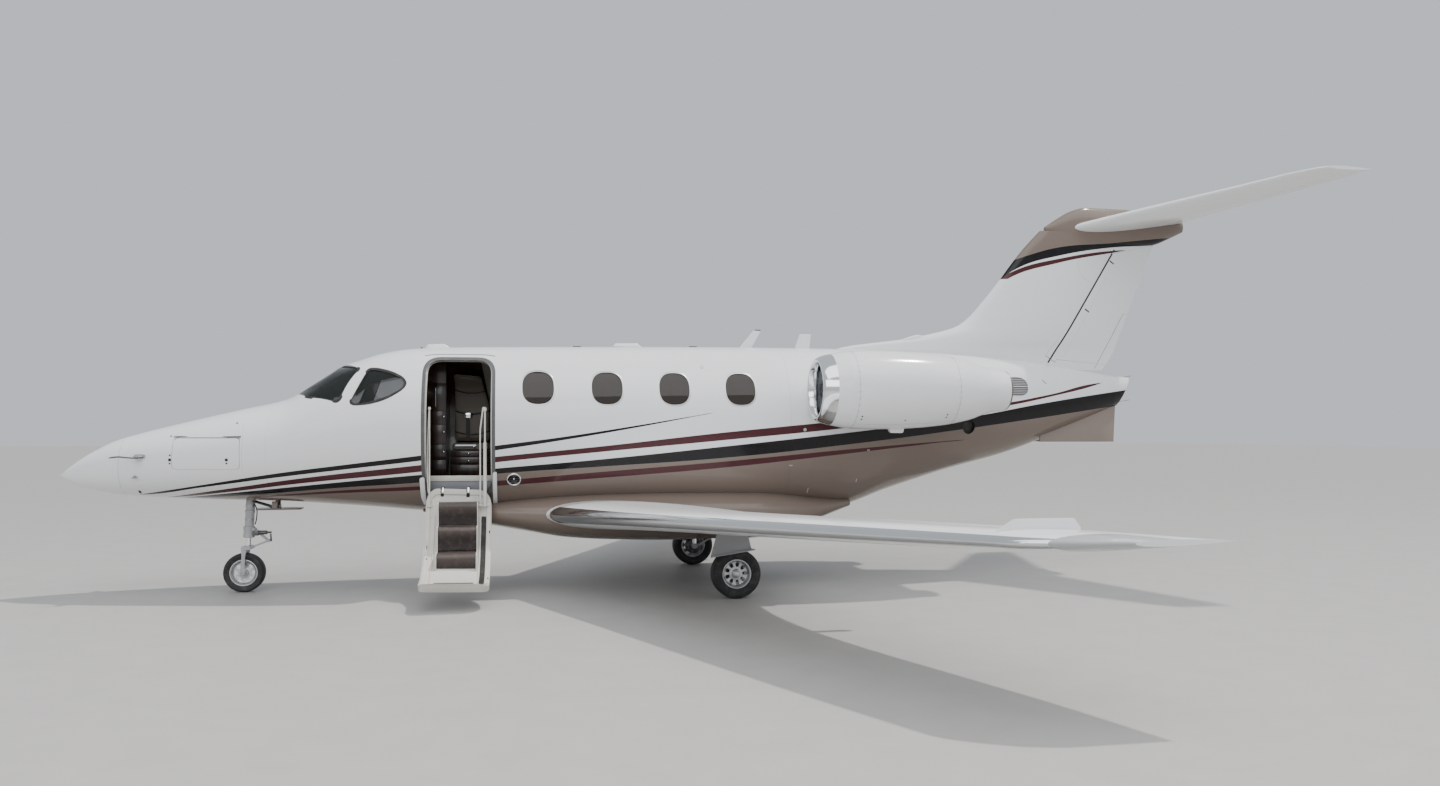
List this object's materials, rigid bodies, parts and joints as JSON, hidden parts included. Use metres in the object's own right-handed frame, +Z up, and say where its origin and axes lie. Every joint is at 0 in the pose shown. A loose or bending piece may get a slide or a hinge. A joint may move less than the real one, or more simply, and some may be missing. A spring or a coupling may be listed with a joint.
{
  "type": "light twin-engine business jet",
  "caption": "Low-wing business jet with a T-tail, two rear engines, an open airstair door and its gear down.",
  "frame": {"origin": "on the ground, on the centreline, at the middle of the length", "axes": "the nose points to -X, the port side with the airstair is -Y, and +Z is up"},
  "size_m": [14.02, 13.56, 4.6732],
  "materials": {
    "white_paint": "gloss",
    "wing_paint": "gloss",
    "taupe_paint": "gloss",
    "glass": "gloss",
    "polished_lip": "polished",
    "engine_metal": "satin",
    "fan_metal": "satin",
    "gear_paint": "satin",
    "wheel_metal": "satin",
    "tyre": "matt",
    "cream_paint": "satin",
    "stair_trim": "matt",
    "cabin_floor": "matt",
    "leather": "satin",
    "veneer": "gloss",
    "panel_black": "matt"
  },
  "bodies": {
    "root": {"radome": "white_paint", "cabin_shell": "white_paint", "nose_section": "white_paint", "tail_section": "white_paint", "fin": "white_paint", "pylon_left": "white_paint", "pylon_right": "white_paint", "nacelle_left": "white_paint", "nacelle_right": "white_paint", "wing_left": "wing_paint", "wing_right": "wing_paint", "tailplane_left": "wing_paint", "tailplane_right": "wing_paint", "belly_fairing": "taupe_paint", "nose_gear_door": "taupe_paint", "window_belt_left": "glass", "window_belt_right": "glass", "cockpit_glazing": "glass", "inlet_lip_left": "polished_lip", "inlet_lip_right": "polished_lip", "engine_core_left": "engine_metal", "engine_core_right": "engine_metal", "nose_leg": "gear_paint", "main_leg_left": "gear_paint", "main_leg_right": "gear_paint", "cabin_floor": "cabin_floor", "cabin_seats": "leather", "cockpit_seats": "leather", "side_seat": "leather", "forward_cabinet": "veneer", "instrument_panel": "panel_black"},
    "cabin_door": {"airstair_door": "cream_paint", "airstair_steps": "stair_trim"},
    "door_rails": {"handrail_aft": "cream_paint", "handrail_fore": "cream_paint"},
    "nose_steering": {"nose_fork": "gear_paint"},
    "nose_wheel": {"nose_rim": "wheel_metal", "nose_tyre": "tyre"},
    "main_wheel_left": {"main_left_rim": "wheel_metal", "main_left_tyre": "tyre"},
    "main_wheel_right": {"main_right_rim": "wheel_metal", "main_right_tyre": "tyre"},
    "fan_left": {"fan_left": "fan_metal"},
    "fan_right": {"fan_right": "fan_metal"},
    "rudder": {"rudder": "white_paint"},
    "elevator_left": {"elevator_left": "wing_paint"},
    "elevator_right": {"elevator_right": "wing_paint"},
    "aileron_left": {"aileron_left": "wing_paint"},
    "aileron_right": {"aileron_right": "wing_paint"},
    "flap_inner_left": {"flap_inner_left": "wing_paint"},
    "flap_outer_left": {"flap_outer_left": "wing_paint"},
    "flap_inner_right": {"flap_inner_right": "wing_paint"},
    "flap_outer_right": {"flap_outer_right": "wing_paint"},
    "nose_baggage_door": {"nose_baggage_door": "white_paint"}
  },
  "joints": [
    {"name": "cabin_door", "type": "hinge", "parent": "root", "child": "cabin_door", "pos_m": [-3, -0.67232, 1.106], "axis": [1, 0, 0], "range_deg": [-132.6, 0]},
    {"name": "door_rails", "type": "hinge", "parent": "cabin_door", "child": "door_rails", "pos_m": [-3, -0.8, 0.975], "axis": [1, 0, 0], "range_deg": [0, 129.6]},
    {"name": "nose_steer", "type": "hinge", "parent": "root", "child": "nose_steering", "pos_m": [-5.12431, 0, 0.72], "axis": [0.0461, 0, 0.9989], "range_deg": [-38, 38]},
    {"name": "nose_wheel_spin", "type": "hinge", "parent": "nose_steering", "child": "nose_wheel", "pos_m": [-5.172, 0, 0.215], "axis": [0, 1, 0], "continuous": true},
    {"name": "main_wheel_left_spin", "type": "hinge", "parent": "root", "child": "main_wheel_left", "pos_m": [0.069, -1.422, 0.262], "axis": [0, 1, 0], "continuous": true},
    {"name": "main_wheel_right_spin", "type": "hinge", "parent": "root", "child": "main_wheel_right", "pos_m": [0.069, 1.422, 0.262], "axis": [0, 1, 0], "continuous": true},
    {"name": "fan_left_spin", "type": "hinge", "parent": "root", "child": "fan_left", "pos_m": [1.39, -1.3, 2.23], "axis": [1, 0, 0], "continuous": true},
    {"name": "fan_right_spin", "type": "hinge", "parent": "root", "child": "fan_right", "pos_m": [1.39, 1.3, 2.23], "axis": [1, 0, 0], "continuous": true},
    {"name": "rudder", "type": "hinge", "parent": "root", "child": "rudder", "pos_m": [4.468, 0, 2.7], "axis": [0.5273, 0, 0.8497], "range_deg": [-20, 20]},
    {"name": "nose_baggage_door", "type": "hinge", "parent": "root", "child": "nose_baggage_door", "pos_m": [-5.771, -0.43062, 1.709], "axis": [0.9569, -0.2905, 0], "range_deg": [-80, 0]},
    {"name": "aileron_left", "type": "hinge", "parent": "root", "child": "aileron_left", "pos_m": [0.935, -4.42, 1.00367], "axis": [-0.3057, 0.9509, -0.0478], "range_deg": [-20, 20]},
    {"name": "aileron_right", "type": "hinge", "parent": "root", "child": "aileron_right", "pos_m": [0.935, 4.42, 1.00367], "axis": [0.3057, 0.9509, 0.0478], "range_deg": [-20, 20]},
    {"name": "flap_inner_left", "type": "hinge", "parent": "root", "child": "flap_inner_left", "pos_m": [0.222, -0.985, 0.83384], "axis": [-0.0342, 0.9983, -0.047], "range_deg": [0, 30]},
    {"name": "flap_inner_right", "type": "hinge", "parent": "root", "child": "flap_inner_right", "pos_m": [0.222, 0.985, 0.83384], "axis": [0.0342, 0.9983, 0.047], "range_deg": [0, 30]},
    {"name": "flap_outer_left", "type": "hinge", "parent": "root", "child": "flap_outer_left", "pos_m": [0.28, -2.33, 0.89727], "axis": [-0.2904, 0.9556, -0.0488], "range_deg": [0, 30]},
    {"name": "flap_outer_right", "type": "hinge", "parent": "root", "child": "flap_outer_right", "pos_m": [0.28, 2.33, 0.89727], "axis": [0.2904, 0.9556, 0.0488], "range_deg": [0, 30]},
    {"name": "elevator_left", "type": "hinge", "parent": "root", "child": "elevator_left", "pos_m": [5.905, -0.19, 4.47219], "axis": [-0.4005, 0.9133, -0.0743], "range_deg": [-20, 15]},
    {"name": "elevator_right", "type": "hinge", "parent": "root", "child": "elevator_right", "pos_m": [5.905, 0.19, 4.47219], "axis": [0.4005, 0.9133, 0.0743], "range_deg": [-20, 15]}
  ],
  "couplings": [
    {"joint": "door_rails", "follows": "cabin_door", "ratio": -0.977},
    {"joint": "aileron_right", "follows": "aileron_left", "ratio": -1},
    {"joint": "elevator_right", "follows": "elevator_left", "ratio": 1},
    {"joint": "flap_inner_right", "follows": "flap_inner_left", "ratio": 1},
    {"joint": "flap_outer_left", "follows": "flap_inner_left", "ratio": 1},
    {"joint": "flap_outer_right", "follows": "flap_inner_left", "ratio": 1}
  ]
}
